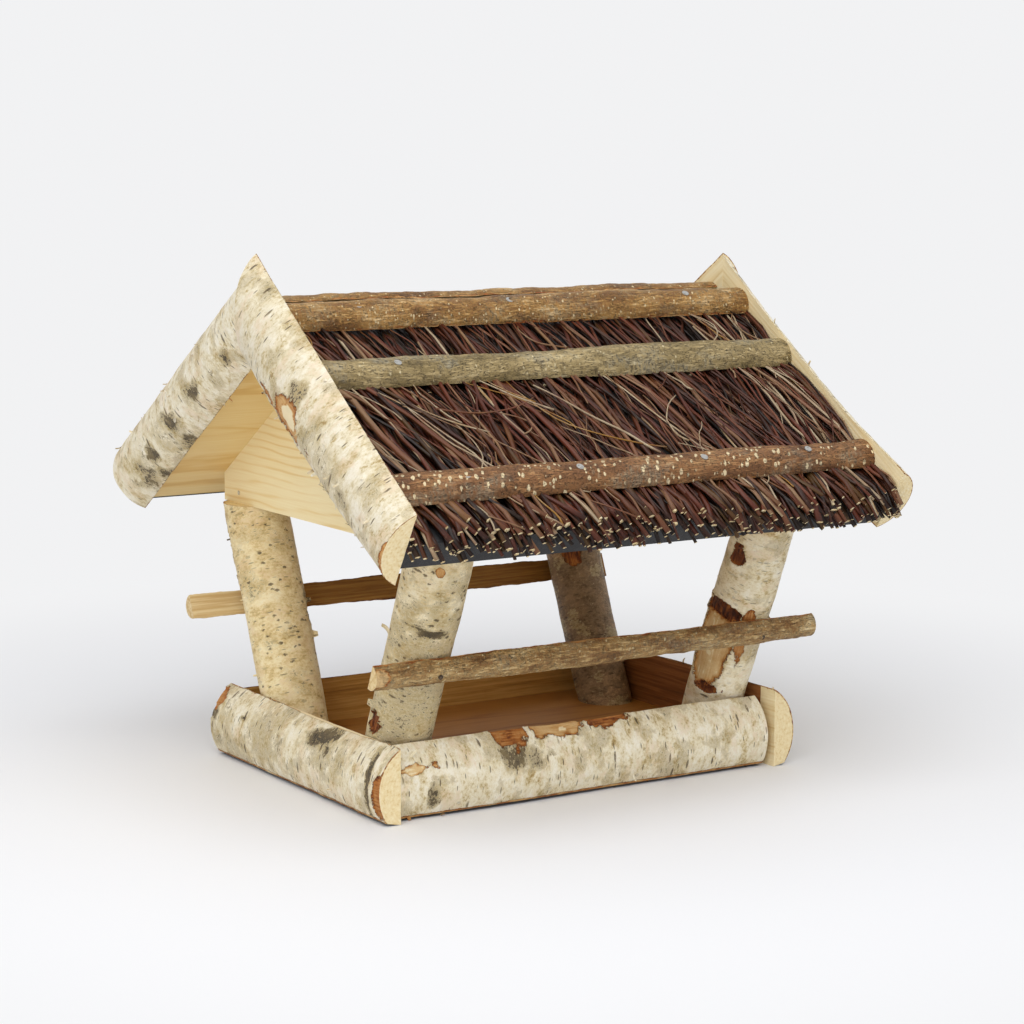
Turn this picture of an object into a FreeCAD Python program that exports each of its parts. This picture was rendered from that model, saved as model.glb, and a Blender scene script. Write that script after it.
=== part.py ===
import FreeCAD, Part
import math
import os

# Rustic bird table: a low tray of halved birch logs, four leaning birch posts, two split perches
# and a saddle roof of boards, roofing felt and brushwood.
# Millimetres. X runs along the ridge, the front faces -Y and Z is up.
# The origin is the middle of the tray's underside, where the table rests.

# Tray
tray_length = 360.0
tray_depth = 256.0
rim_thickness = 18.0
rim_height = 53.0
tall_rim_height = 59.0
rim_trim = 8.0
front_rim_gap = 6.0
rear_rim_gap = 1.0
floor_thickness = 18.0

# Posts, leaning outwards to the front and to the rear
post_lean = 22.5
post_radius_front_left = 23.5
post_radius_front_right = 23.0
post_radius_rear_left = 24.0
post_radius_rear_right = 21.8
rear_post_setback = 8.0

# Gable boards, let into the outer side of the post tops
gable_thickness = 18.0
gable_inset = 12.0
gable_drop = 1.7
gable_corner_height = 21.0

# Roof boards and felt
roof_pitch = 34.0
eave_height = 191.7
eave_overhang = 60.6
verge_overhang = 53.4
board_thickness = 18.0
felt_thickness = 2.0

# Brushwood on each slope
thatch_thickness = 10.0
thatch_drip = 10.5
twig_width = 5.8
twig_rise = 1.6

# Split battens that hold the brushwood down
batten_width = 28.0
batten_rise = 11.0
ridge_batten_place_front = 6.5
ridge_batten_place_rear = 2.0
upper_batten_place = 71.0
lower_batten_setback = 37.0

# Barge logs on the gable ends of the roof; the front left one thickens from the eave to the ridge
front_left_barge_eave_width = 58.0
front_left_barge_eave_drop = 8.5
front_left_barge_ridge_width = 69.0
front_left_barge_ridge_drop = 14.0
front_left_barge_tip = 4.5
rear_left_barge_width = 56.0
rear_left_barge_drop = 6.5
right_barge_width = 52.4
right_barge_drop = 3.4
barge_rise = 18.0
barge_extra = 4.5

# Perches, nailed to the outside of the posts
perch_width = 19.0
perch_rise = 10.0
perch_height_front = 107.0
perch_height_rear = 115.5
perch_overhang = 26.5
perch_shift_rear = -6.0

# Nails and screws: shank radius, head radius, head thickness, length
batten_nail = (1.2, 2.7, 0.9, 36.0)
barge_nail = (1.2, 2.2, 0.9, 44.0)
perch_nail = (0.9, 1.8, 0.8, 26.0)
rim_nail = (0.9, 1.25, 1.0, 40.0)
gable_nail = (0.9, 1.6, 0.8, 26.0)
roof_nail = (1.1, 2.2, 0.9, 38.0)
post_screw = (2.0, 4.0, 2.6, 46.0)
screw_slot_width = 0.9
screw_slot_depth = 1.3
rim_nail_inset = 48.0
long_rim_nail_count = 4
short_rim_nail_count = 3
barge_nail_places = (45.0, 117.0)
roof_nail_top = 62.0
roof_nail_bottom = 78.0
gable_nail_height = 8.0

# Nails along each batten, from -1 at the left barge to 1 at the right one
batten_nail_places = {
    "ridge": (-0.68, -0.06, 0.72),
    "upper": (-0.675, 0.61),
    "lower": (-0.70, -0.256, 0.26, 0.715),
}

# Clearances
round_gap = 0.2
soft_gap = 0.3
nail_gap = 0.1
head_sink = 0.5

# Places worked out from the sizes above
pitch = math.radians(roof_pitch)
lean = math.radians(post_lean)
rim_face_x = tray_length / 2 - rim_thickness
rim_face_y = tray_depth / 2 - rim_thickness
post_outer_x = rim_face_x - round_gap
gable_outer_x = rim_face_x - gable_inset
gable_inner_x = gable_outer_x - gable_thickness
verge_x = gable_outer_x + verge_overhang
eave_y = tray_depth / 2 + eave_overhang
board_slope = eave_y / math.cos(pitch)
apex_height = eave_height + eave_y * math.tan(pitch)
felt_top = board_thickness + felt_thickness
thatch_bottom = felt_top + soft_gap
thatch_top = thatch_bottom + thatch_thickness
batten_bottom = thatch_top + soft_gap
barge_slope = board_slope + barge_extra
thatch_slope = board_slope + thatch_drip
gable_bottom = eave_height - gable_drop
gable_corner = gable_bottom + gable_corner_height
gable_half = (apex_height - gable_corner) / math.tan(pitch)
post_radii = {
    (-1, -1): post_radius_front_left,
    (1, -1): post_radius_front_right,
    (-1, 1): post_radius_rear_left,
    (1, 1): post_radius_rear_right,
}
right_barge = (right_barge_width, right_barge_drop)
rear_left_barge = (rear_left_barge_width, rear_left_barge_drop)
# Width and drop of each barge log at the eave and at the ridge, and how far its lower tip runs on
barge_sizes = {
    (-1, -1): (
        (front_left_barge_eave_width, front_left_barge_eave_drop),
        (front_left_barge_ridge_width, front_left_barge_ridge_drop),
        front_left_barge_tip,
    ),
    (-1, 1): (rear_left_barge, rear_left_barge, 0.0),
    (1, -1): (right_barge, right_barge, 0.0),
    (1, 1): (right_barge, right_barge, 0.0),
}
side_names = {-1: "left", 1: "right"}
face_names = {-1: "front", 1: "rear"}


def vec(x, y, z):
    return FreeCAD.Vector(x, y, z)


def on_slope(face, along, height, x=0.0):
    """Point of a roof slope: along it from the ridge, and square above the boards' underside."""
    y = along * math.cos(pitch) + height * math.sin(pitch)
    z = apex_height - along * math.sin(pitch) + height * math.cos(pitch)
    return vec(x, face * y, z)


def slope_normal(face):
    return vec(0, face * math.sin(pitch), math.cos(pitch))


def ridge_point(height, x=0.0):
    """Point on the ridge line of the surface that lies this far above the boards' underside."""
    return vec(x, 0, apex_height + height / math.cos(pitch))


def prism(points, run):
    return Part.Face(Part.makePolygon(points + points[:1])).extrude(run)


def split_log(start, end, bulge, run):
    """Length of split log: its flat face runs from start to end, its bark side stands out by bulge."""
    crown = (start + end) * 0.5 + bulge
    bark = Part.Arc(start, crown, end).toShape()
    flat = Part.LineSegment(end, start).toShape()
    return Part.Face(Part.Wire([bark, flat])).extrude(run)


def bulge_at(place, width, rise):
    """How far the bark of a split log stands out from its flat face at a place across it."""
    radius = (width * width / 4 + rise * rise) / (2 * rise)
    offset = place - width / 2
    return math.sqrt(radius * radius - offset * offset) - radius + rise


def spread(count, first, last):
    """Evenly spaced places from first to last."""
    step = (last - first) / (count - 1)
    return [first + step * index for index in range(count)]


def export(shapes, name):
    """Writes one sub-part; a list of shapes becomes one group of separate solids."""
    shape = Part.makeCompound(shapes) if isinstance(shapes, list) else shapes
    shape.exportStep(os.path.join("parts", name + ".step"))


# Nails: each is a head and a shank that share an axis; the same form, a little larger, is its hole
def nail(place, direction, size, gap=0.0):
    shank, head, thickness, length = size
    sunk = place + direction * (head_sink - thickness)
    shaft = Part.makeCylinder(shank + gap, length + gap, sunk, direction)
    cap = Part.makeCylinder(head + gap, thickness + gap, sunk, direction)
    return shaft.fuse(cap).removeSplitter()


def nail_group(places, size):
    return [nail(place, direction, size) for place, direction in places]


def drill(piece, places, size):
    """Takes the holes of one group of nails out of a piece."""
    holes = [nail(place, direction, size, nail_gap) for place, direction in places]
    return piece.cut(holes)


def countersunk(place, gap=0.0):
    """Wood screw driven straight up, with its head just inside the face that it enters."""
    shank, head, thickness, length = post_screw
    up = vec(0, 0, 1)
    start = place + up * head_sink
    cone = Part.makeCone(head + gap, shank + gap, thickness, start, up)
    shaft = Part.makeCylinder(shank + gap, length + gap, start, up)
    return cone.fuse(shaft).removeSplitter()


def screw(place):
    head = post_screw[1]
    body = countersunk(place)
    corner = place + vec(-head, -screw_slot_width / 2, head_sink)
    slot = Part.makeBox(2 * head, screw_slot_width, screw_slot_depth, corner)
    return body.cut(slot)


def screw_hole(place):
    """The screw's own form with room around it, open through the face below."""
    head = post_screw[1] + nail_gap
    mouth = Part.makeCylinder(head, head_sink, place, vec(0, 0, 1))
    return countersunk(place, nail_gap).fuse(mouth)


# Tray
def long_rim(face, height, left_end, right_end):
    start = vec(left_end, face * rim_face_y, -rim_trim)
    end = vec(left_end, face * rim_face_y, height)
    log = split_log(start, end, vec(0, face * rim_thickness, 0), vec(right_end - left_end, 0, 0))
    return log.cut(under_table())


def short_rim(side, height):
    start = vec(side * rim_face_x, -tray_depth / 2, -rim_trim)
    end = vec(side * rim_face_x, -tray_depth / 2, height)
    log = split_log(start, end, vec(side * rim_thickness, 0, 0), vec(0, tray_depth, 0))
    return log.cut(under_table())


def under_table():
    """All the wood below the plane that the tray stands on."""
    corner = vec(-tray_length, -tray_depth, -2 * rim_trim)
    return Part.makeBox(2 * tray_length, 2 * tray_depth, 2 * rim_trim, corner)


def floor_board():
    corner = vec(-rim_face_x, -rim_face_y, 0)
    return Part.makeBox(2 * rim_face_x, 2 * rim_face_y, floor_thickness, corner)


def rim_nails():
    """Nails through the rims into the edges of the floor board, halfway up its thickness."""
    height = floor_thickness / 2
    places = []
    for face in (-1, 1):
        stand = bulge_at(height + rim_trim, rim_height + rim_trim, rim_thickness)
        reach = rim_face_x - rim_nail_inset
        for x in spread(long_rim_nail_count, -reach, reach):
            places.append((vec(x, face * (rim_face_y + stand), height), vec(0, -face, 0)))
    for side, top in ((-1, rim_height), (1, tall_rim_height)):
        stand = bulge_at(height + rim_trim, top + rim_trim, rim_thickness)
        reach = rim_face_y - rim_nail_inset
        for y in spread(short_rim_nail_count, -reach, reach):
            places.append((vec(side * (rim_face_x + stand), y, height), vec(-side, 0, 0)))
    return places


# Posts
def post_setback(face):
    return rear_post_setback if face > 0 else round_gap


def post_outer_y(face, height):
    """Outermost line of a post: it leans over the top edge of the rim, or stands a little off it."""
    return rim_face_y - post_setback(face) + (height - rim_height) * math.tan(lean)


def post_axis(side, face, height):
    radius = post_radii[(side, face)]
    x = side * (post_outer_x - radius)
    y = face * (post_outer_y(face, height) - radius / math.cos(lean))
    return vec(x, y, height)


def room():
    """Space between the floor board and the underside of the roof boards."""
    reach = (apex_height - floor_thickness) / math.tan(pitch)
    front = vec(-verge_x, -reach, floor_thickness)
    rear = vec(-verge_x, reach, floor_thickness)
    ridge = vec(-verge_x, 0, apex_height)
    return prism([front, ridge, rear], vec(2 * verge_x, 0, 0))


def gable_outline(x):
    return [
        vec(x, -gable_half, gable_bottom),
        vec(x, gable_half, gable_bottom),
        vec(x, gable_half, gable_corner),
        vec(x, 0, apex_height),
        vec(x, -gable_half, gable_corner),
    ]


def post(side, face):
    """Round post, sawn level on the floor board and to the roof's slope, and notched for the gable."""
    radius = post_radii[(side, face)]
    foot = post_axis(side, face, 0.0)
    top = post_axis(side, face, apex_height)
    log = Part.makeCylinder(radius, foot.distanceToPoint(top), foot, top - foot)
    notch = prism(gable_outline(side * gable_inner_x), vec(side * verge_x, 0, 0))
    return log.common(room()).cut(notch)


def post_screw_places():
    """Screws under the floor board, aimed at the middle of each post where they end."""
    depth = floor_thickness + (post_screw[3] - floor_thickness) / 2
    places = []
    for side, face in post_radii:
        target = post_axis(side, face, depth)
        places.append(vec(target.x, target.y, 0))
    return places


# Perches
def perch_line(face, height, x):
    """Point where a perch's flat face meets the outermost line of the posts."""
    return vec(x, face * (post_outer_y(face, height) + round_gap / math.cos(lean)), height)


def perch_height(face):
    return perch_height_rear if face > 0 else perch_height_front


def perch(face):
    shift = perch_shift_rear if face > 0 else 0.0
    half = rim_face_x + perch_overhang
    middle = perch_line(face, perch_height(face), shift - half)
    up = vec(0, face * math.sin(lean), math.cos(lean)) * (perch_width / 2)
    out = vec(0, face * math.cos(lean), -math.sin(lean)) * perch_rise
    return split_log(middle - up, middle + up, out, vec(2 * half, 0, 0))


def perch_nails(face):
    out = vec(0, face * math.cos(lean), -math.sin(lean))
    places = []
    for side in (-1, 1):
        x = post_axis(side, face, 0.0).x
        crown = perch_line(face, perch_height(face), x) + out * perch_rise
        places.append((crown, out * -1))
    return places


# Roof
def gable_board(side):
    run = side * gable_thickness
    return prism(gable_outline(side * gable_inner_x), vec(run, 0, 0))


def gable_nails():
    """Nails through the lower corners of the gable boards into the notched post tops."""
    height = gable_bottom + gable_nail_height
    places = []
    for side, face in post_radii:
        y = post_axis(side, face, height).y
        places.append((vec(side * gable_outer_x, y, height), vec(-side, 0, 0)))
    return places


def roof_board(face):
    profile = [
        ridge_point(0, -verge_x),
        on_slope(face, board_slope, 0, -verge_x),
        on_slope(face, board_slope, board_thickness, -verge_x),
        ridge_point(board_thickness, -verge_x),
    ]
    return prism(profile, vec(2 * verge_x, 0, 0))


def roof_nails(face):
    """Nails through a roof board into the sloping edges of both gable boards."""
    x = gable_inner_x + gable_thickness / 2
    down = slope_normal(face) * -1
    places = []
    for side in (-1, 1):
        for along in (roof_nail_top, board_slope - roof_nail_bottom):
            head = on_slope(face, along, board_thickness - head_sink, side * x)
            places.append((head, down))
    return places


def roofing_felt():
    """One sheet over the ridge, turned down over the lower edge of each board."""
    outer = board_slope + felt_thickness
    front = [
        on_slope(-1, board_slope, 0, -verge_x),
        on_slope(-1, outer, 0, -verge_x),
        on_slope(-1, outer, felt_top, -verge_x),
        ridge_point(felt_top, -verge_x),
    ]
    rear = [
        on_slope(1, outer, felt_top, -verge_x),
        on_slope(1, outer, 0, -verge_x),
        on_slope(1, board_slope, 0, -verge_x),
        on_slope(1, board_slope, board_thickness, -verge_x),
    ]
    inner = [ridge_point(board_thickness, -verge_x), on_slope(-1, board_slope, board_thickness, -verge_x)]
    return prism(front + rear + inner, vec(2 * verge_x, 0, 0))


def thatch(face):
    """Brushwood of one slope: a mat with a row of twig backs on top, sawn upright along the ridge."""
    half = verge_x - soft_gap
    count = round(2 * half / twig_width)
    step = 2 * half / count
    valley = thatch_top - twig_rise
    edges = []
    for index in range(count):
        left = -half + index * step
        start = on_slope(face, thatch_slope, valley, left)
        crown = on_slope(face, thatch_slope, thatch_top, left + step / 2)
        end = on_slope(face, thatch_slope, valley, left + step)
        edges.append(Part.Arc(start, crown, end).toShape())
    corners = [
        on_slope(face, thatch_slope, valley, half),
        on_slope(face, thatch_slope, thatch_bottom, half),
        on_slope(face, thatch_slope, thatch_bottom, -half),
        on_slope(face, thatch_slope, valley, -half),
    ]
    edges += [Part.LineSegment(a, b).toShape() for a, b in zip(corners, corners[1:])]
    uphill = on_slope(face, -thatch_slope, 0) - on_slope(face, thatch_slope, 0)
    mat = Part.Face(Part.Wire(edges)).extrude(uphill)
    return mat.common(half_space(face, soft_gap / 2))


def half_space(face, gap):
    """Everything on one side of the upright plane through the ridge."""
    size = 2 * (eave_y + tray_depth)
    low = gap if face > 0 else -size - gap
    return Part.makeBox(size * 2, size, size * 2, vec(-size, low, -size))


def batten_places(face):
    ridge = ridge_batten_place_rear if face > 0 else ridge_batten_place_front
    return {
        "ridge": ridge,
        "upper": upper_batten_place,
        "lower": board_slope - lower_batten_setback,
    }


def batten(face, place):
    half = verge_x - round_gap
    start = on_slope(face, place - batten_width / 2, batten_bottom, -half)
    end = on_slope(face, place + batten_width / 2, batten_bottom, -half)
    return split_log(start, end, slope_normal(face) * batten_rise, vec(2 * half, 0, 0))


def batten_nails(face):
    down = slope_normal(face) * -1
    crown = batten_bottom + batten_rise
    places = []
    for name, place in batten_places(face).items():
        for share in batten_nail_places[name]:
            places.append((on_slope(face, place, crown, share * verge_x), down))
    return places


def barge_section(side, face, size, low_along, high_along):
    """Outline of a barge log sawn across, from its lower edge to its upper one."""
    width, drop = size
    low = on_slope(face, low_along, -drop, side * verge_x)
    high = on_slope(face, high_along, width - drop, side * verge_x)
    crown = (low + high) * 0.5 + vec(side * barge_rise, 0, 0)
    return Part.Wire([Part.Arc(low, crown, high).toShape(), Part.LineSegment(high, low).toShape()])


def barge(side, face):
    """Split log on a gable end of the roof, sawn across at the eave and upright at the ridge."""
    eave, ridge, tip = barge_sizes[(side, face)]
    foot = barge_section(side, face, eave, barge_slope + tip, barge_slope)
    width, drop = ridge
    low_along = drop * math.tan(pitch)
    high_along = (drop - width) * math.tan(pitch)
    return Part.makeLoft([foot, barge_section(side, face, ridge, low_along, high_along)], True, True)


def barge_stand(side, face, along, height):
    """How far a barge log's bark stands out at a place along the slope and above the boards."""
    eave, ridge, tip = barge_sizes[(side, face)]
    share = along / barge_slope
    width, drop = (top + (bottom - top) * share for bottom, top in zip(eave, ridge))
    return bulge_at(height + drop, width, barge_rise)


def barge_nails(side, face):
    """Nails through a barge log into the middle of the roof board's end."""
    height = board_thickness / 2
    places = []
    for along in barge_nail_places:
        stand = barge_stand(side, face, along, height)
        place = on_slope(face, along, height, side * (verge_x + stand))
        places.append((place, vec(-side, 0, 0)))
    return places


def build_tray():
    nails = rim_nails()
    screws = post_screw_places()
    rims = {
        "rim_front": long_rim(-1, rim_height, -rim_face_x, rim_face_x - front_rim_gap),
        "rim_rear": long_rim(1, rim_height, -rim_face_x + rear_rim_gap, rim_face_x),
        "rim_left": short_rim(-1, rim_height),
        "rim_right": short_rim(1, tall_rim_height),
    }
    for name, rim in rims.items():
        export(drill(rim, nails, rim_nail), name)
    board = drill(floor_board(), nails, rim_nail)
    export(board.cut([screw_hole(place) for place in screws]), "floor_board")
    export(nail_group(nails, rim_nail), "rim_nails")
    export([screw(place) for place in screws], "post_screws")


def build_posts():
    screws = [screw_hole(place) for place in post_screw_places()]
    perch_holes = perch_nails(-1) + perch_nails(1)
    for side, face in post_radii:
        log = drill(post(side, face), perch_holes, perch_nail)
        log = drill(log, gable_nails(), gable_nail)
        export(log.cut(screws), "post_%s_%s" % (face_names[face], side_names[side]))
    for face in (-1, 1):
        export(drill(perch(face), perch_nails(face), perch_nail), "perch_" + face_names[face])
    export(nail_group(perch_holes, perch_nail), "perch_nails")


def build_roof_frame():
    board_nails = roof_nails(-1) + roof_nails(1)
    verge_nails = []
    for side in (-1, 1):
        board = drill(gable_board(side), gable_nails(), gable_nail)
        export(drill(board, board_nails, roof_nail), "gable_board_" + side_names[side])
        for face in (-1, 1):
            nails = barge_nails(side, face)
            log = drill(barge(side, face), nails, barge_nail)
            export(log, "barge_%s_%s" % (side_names[side], face_names[face]))
            verge_nails += nails
    for face in (-1, 1):
        board = drill(roof_board(face), board_nails, roof_nail)
        board = drill(board, verge_nails, barge_nail)
        export(drill(board, batten_nails(face), batten_nail), "roof_board_" + face_names[face])
    export(nail_group(gable_nails(), gable_nail), "gable_nails")
    export(nail_group(board_nails, roof_nail), "roof_board_nails")
    export(nail_group(verge_nails, barge_nail), "barge_nails")


def build_roof_cover():
    nails = {face: batten_nails(face) for face in (-1, 1)}
    both = nails[-1] + nails[1]
    export(drill(roofing_felt(), both, batten_nail), "roofing_felt")
    for face in (-1, 1):
        export(drill(thatch(face), nails[face], batten_nail), "thatch_" + face_names[face])
        for name, place in batten_places(face).items():
            stick = drill(batten(face, place), nails[face], batten_nail)
            export(stick, "batten_%s_%s" % (face_names[face], name))
    export(nail_group(both, batten_nail), "batten_nails")


def main():
    os.makedirs("parts", exist_ok=True)
    build_tray()
    build_posts()
    build_roof_frame()
    build_roof_cover()


main()
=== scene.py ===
import random
from dataclasses import dataclass
from functools import partialmethod
from math import acos, atan2, cos, exp, hypot, pi, radians, sin

import bmesh
import bpy
from mathutils import Matrix, Vector, noise


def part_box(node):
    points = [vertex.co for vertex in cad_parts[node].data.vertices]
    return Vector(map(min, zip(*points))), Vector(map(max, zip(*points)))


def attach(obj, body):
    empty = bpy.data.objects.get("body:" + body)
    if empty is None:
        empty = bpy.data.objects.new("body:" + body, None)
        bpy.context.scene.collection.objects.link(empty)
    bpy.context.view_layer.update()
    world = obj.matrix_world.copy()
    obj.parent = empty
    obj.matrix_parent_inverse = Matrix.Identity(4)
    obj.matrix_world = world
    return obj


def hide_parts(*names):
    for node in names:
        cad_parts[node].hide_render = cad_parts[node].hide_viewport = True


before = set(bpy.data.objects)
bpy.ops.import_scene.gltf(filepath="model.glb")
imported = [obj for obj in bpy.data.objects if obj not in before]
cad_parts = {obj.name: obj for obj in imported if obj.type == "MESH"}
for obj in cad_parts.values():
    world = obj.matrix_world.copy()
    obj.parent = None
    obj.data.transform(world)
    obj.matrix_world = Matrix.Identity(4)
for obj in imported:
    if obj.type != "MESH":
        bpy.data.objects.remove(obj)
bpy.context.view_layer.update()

# Rustic bird table of birch logs, pine boards and brushwood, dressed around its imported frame.
# Metres. X runs along the ridge, the front faces -Y and Z is up.

MM = 0.001
LEFT, RIGHT = -1, 1
FRONT, REAR = -1, 1
SIDE_NAMES = {LEFT: "left", RIGHT: "right"}
FACE_NAMES = {FRONT: "front", REAR: "rear"}
ORIGIN = Vector((0, 0, 0))
ACROSS = Vector((1, 0, 0))
BACK = Vector((0, 1, 0))
UP = Vector((0, 0, 1))

# Angles and thicknesses that the boxes of the frame do not tell
PITCH = radians(34)
LEAN = radians(22.5)
BOARD = 18 * MM
FELT_TOP = 20 * MM
THATCH_TOP = 30.3 * MM
BATTEN_BOTTOM = 30.6 * MM
RIM_TRIM = 8 * MM
RIM_THICKNESS = 18 * MM
RIM_GAP = 3.5 * MM


def metres(*sizes):
    return [size * MM for size in sizes]


def low(node):
    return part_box(node)[0]


def high(node):
    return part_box(node)[1]


RIM_FACE_X, RIM_FACE_Y, FLOOR_TOP = high("floor_board")
VERGE_X = high("roof_board_front").x
APEX = high("roof_board_front").z - BOARD / cos(PITCH)
BOARD_SLOPE = (APEX - low("roof_board_front").z) / sin(PITCH)
GABLE_INNER, _, GABLE_BOTTOM = low("gable_board_right")


def on_slope(face, along, height, x=0.0):
    """Point of a roof slope: along it from the ridge, and square above the boards' underside."""
    y = along * cos(PITCH) + height * sin(PITCH)
    z = APEX - along * sin(PITCH) + height * cos(PITCH)
    return Vector((x, face * y, z))


def slope_normal(face):
    return Vector((0, face * sin(PITCH), cos(PITCH)))


# Shader maths as expressions

def colour(text):
    """Linear colour of a six-digit code."""
    parts = [int(text[i:i + 2], 16) / 255 for i in (0, 2, 4)]
    bent = [p / 12.92 if p <= 0.04045 else ((p + 0.055) / 1.055) ** 2.4 for p in parts]
    return (*bent, 1.0)


class Term:
    """One number or vector on its way through a material, for use in expressions."""

    def __init__(self, finish, socket):
        self.finish = finish
        self.socket = socket

    def _math(self, operation, *others):
        return self.finish.maths(operation, self, *others)

    def __rsub__(self, other):
        return self.finish.maths("SUBTRACT", other, self)

    __add__ = __radd__ = partialmethod(_math, "ADD")
    __sub__ = partialmethod(_math, "SUBTRACT")
    __mul__ = __rmul__ = partialmethod(_math, "MULTIPLY")
    __abs__ = partialmethod(_math, "ABSOLUTE")
    power = partialmethod(_math, "POWER")
    sine = partialmethod(_math, "SINE")
    either = partialmethod(_math, "MAXIMUM")


class Finish:
    """A material, or the light of the world, under construction."""

    def __init__(self, name, family="materials"):
        self.owner = getattr(bpy.data, family).new(name)
        self.owner.use_nodes = True
        self.tree = self.owner.node_tree
        self.tree.nodes.clear()

    def node(self, kind, settings=None, values=None):
        made = self.tree.nodes.new("ShaderNode" + kind)
        for key, setting in (settings or {}).items():
            if key == "stops":
                self._stops(made.color_ramp, setting)
            else:
                setattr(made, key, setting)
        for key, value in (values or {}).items():
            if isinstance(value, Term):
                self.tree.links.new(value.socket, made.inputs[key])
            else:
                made.inputs[key].default_value = value
        return made

    def make(self, kind, settings=None, values=None, output=0):
        return Term(self, self.node(kind, settings, values).outputs[output])

    def _stops(self, ramp, text):
        stops = [stop.split() for stop in text.split(",")]
        while len(ramp.elements) < len(stops):
            ramp.elements.new(1.0)
        for element, (place, shade) in zip(ramp.elements, stops):
            element.position = int(place) / 100
            element.color = colour(shade)

    def ramp(self, value, stops):
        """A run of shades, given as text, each after its place in hundredths."""
        return self.make("ValToRGB", {"stops": stops}, {"Fac": value})

    def mix(self, share, first, second):
        settings = {"data_type": "RGBA"}
        return self.make("Mix", settings, {0: share, 6: first, 7: second}, output=2)

    def rise(self, value, start, end):
        """0 below start, 1 above end and a smooth rise between; start may lie above end."""
        settings = {"interpolation_type": "SMOOTHSTEP"}
        values = {"Value": value, "From Min": start, "From Max": end}
        return self.make("MapRange", settings, values)

    def maths(self, operation, *values, kind="Math"):
        return self.make(kind, {"operation": operation}, dict(enumerate(values)))

    def vector(self, operation, *values):
        return self.maths(operation, *values, kind="VectorMath")

    def parts(self, vector):
        made = self.node("SeparateXYZ", None, {0: vector})
        return [Term(self, socket) for socket in made.outputs]

    def attribute(self, name, output="Fac"):
        return self.make("Attribute", {"attribute_name": name}, None, output)

    def place(self):
        """Place on the object in millimetres."""
        spot = self.make("TexCoord", None, None, "Object")
        return self.vector("MULTIPLY", spot, (1 / MM, 1 / MM, 1 / MM))

    def turned(self, vector, rotation, location=(0, 0, 0)):
        values = {"Vector": vector, "Rotation": rotation, "Location": location}
        return self.make("Mapping", None, values)

    def stretched(self, vector, along, across):
        """A pattern's place, so that its shapes run along the wood or across it."""
        return self.vector("MULTIPLY", vector, (along, across, across))

    def noise(self, vector, scale=1.0, detail=3.0, roughness=0.55, distortion=0.0, output="Fac"):
        values = {
            "Vector": vector, "Scale": scale, "Detail": detail,
            "Roughness": roughness, "Distortion": distortion,
        }
        return self.make("TexNoise", None, values, output)

    def streaks(self, vector, along, across, *settings):
        return self.noise(self.stretched(vector, along, across), *settings)

    def wobble(self, vector, scale, size):
        """A small wander, for patterns whose shapes would be too regular."""
        drift = self.noise(vector, scale, 2, output="Color")
        reach = (size * 2, size * 2, size * 2)
        return self.vector("MULTIPLY", self.vector("SUBTRACT", drift, (0.5, 0.5, 0.5)), reach)

    def spots(self, vector, along, across, wander, scale=1.0):
        """Distance to the nearest of scattered points, and a random number of its own for each."""
        place = self.vector("ADD", self.stretched(vector, along, across), wander)
        made = self.node("TexVoronoi", None, {"Vector": place, "Scale": scale})
        return Term(self, made.outputs["Distance"]), self.parts(Term(self, made.outputs["Color"]))[0]

    def bump(self, height, distance, strength=1.0):
        values = {"Height": height, "Distance": distance, "Strength": strength}
        return self.make("Bump", None, values)

    def surface(self, shade, roughness, normal, specular=0.5, metallic=0.0):
        values = {
            "Base Color": shade, "Roughness": roughness, "Normal": normal,
            "Specular IOR Level": specular, "Metallic": metallic,
        }
        shader = self.make("BsdfPrincipled", None, values)
        self.give("OutputMaterial", shader)
        return self.owner

    def give(self, kind, shader):
        self.node(kind, None, {"Surface": shader})

    def seen(self):
        """1 where the camera looks, also by way of a mirror or glass, and 0 where light is gathered."""
        path = self.node("LightPath")
        rays = ("Is Camera Ray", "Is Glossy Ray", "Is Transmission Ray")
        camera, glossy, clear = (Term(self, path.outputs[ray]) for ray in rays)
        return camera.either(glossy).either(clear)


# Materials

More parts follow.
